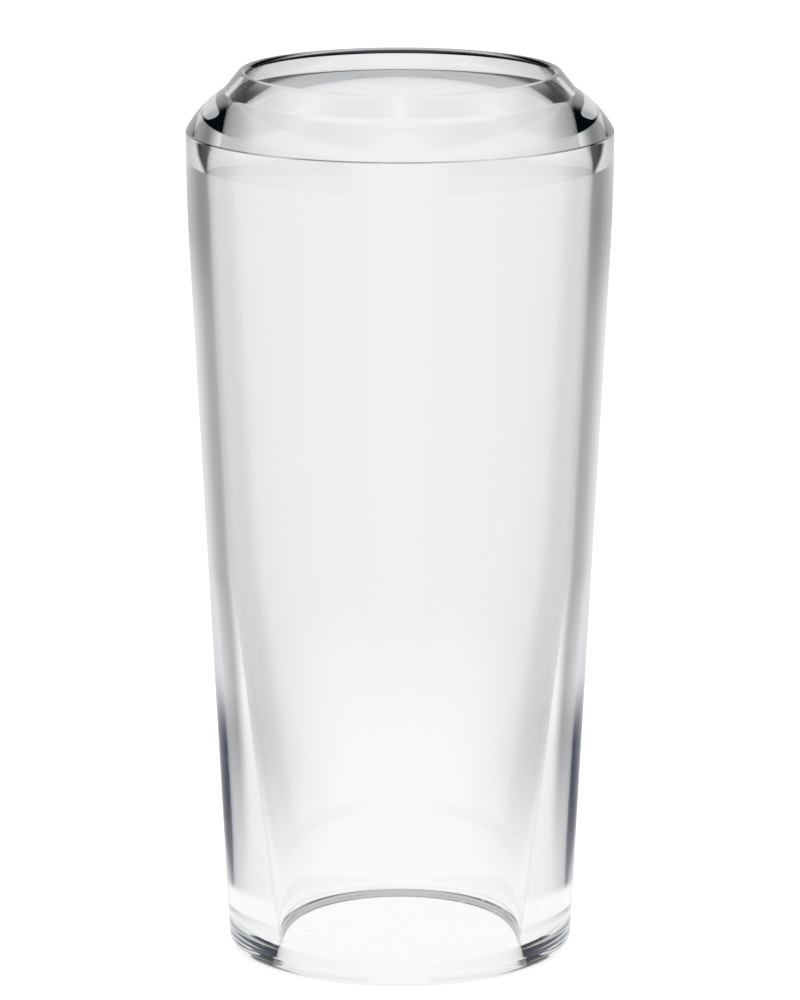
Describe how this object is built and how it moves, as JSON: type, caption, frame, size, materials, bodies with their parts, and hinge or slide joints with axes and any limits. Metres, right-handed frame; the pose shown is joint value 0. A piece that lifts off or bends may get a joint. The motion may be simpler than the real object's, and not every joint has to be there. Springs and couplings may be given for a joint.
{
  "type": "guitar slide",
  "caption": "Clear glass finger tube for slide guitar: tapered, open at both ends, thin under a bevelled shoulder, rounded mouth, heavier tip.",
  "frame": {"origin": "middle of the flat ring at the tip, the narrow end that the slide stands on", "axes": "+Z along the slide's axis, from the tip up to the mouth; the slide is the same all round, so X and Y are free"},
  "size_m": [0.028, 0.028, 0.0588],
  "materials": {
    "clear_glass": "clear, fire-polished, faint cool tint in the thick parts"
  },
  "bodies": {
    "root": {"glass_slide": "clear_glass"}
  },
  "joints": []
}
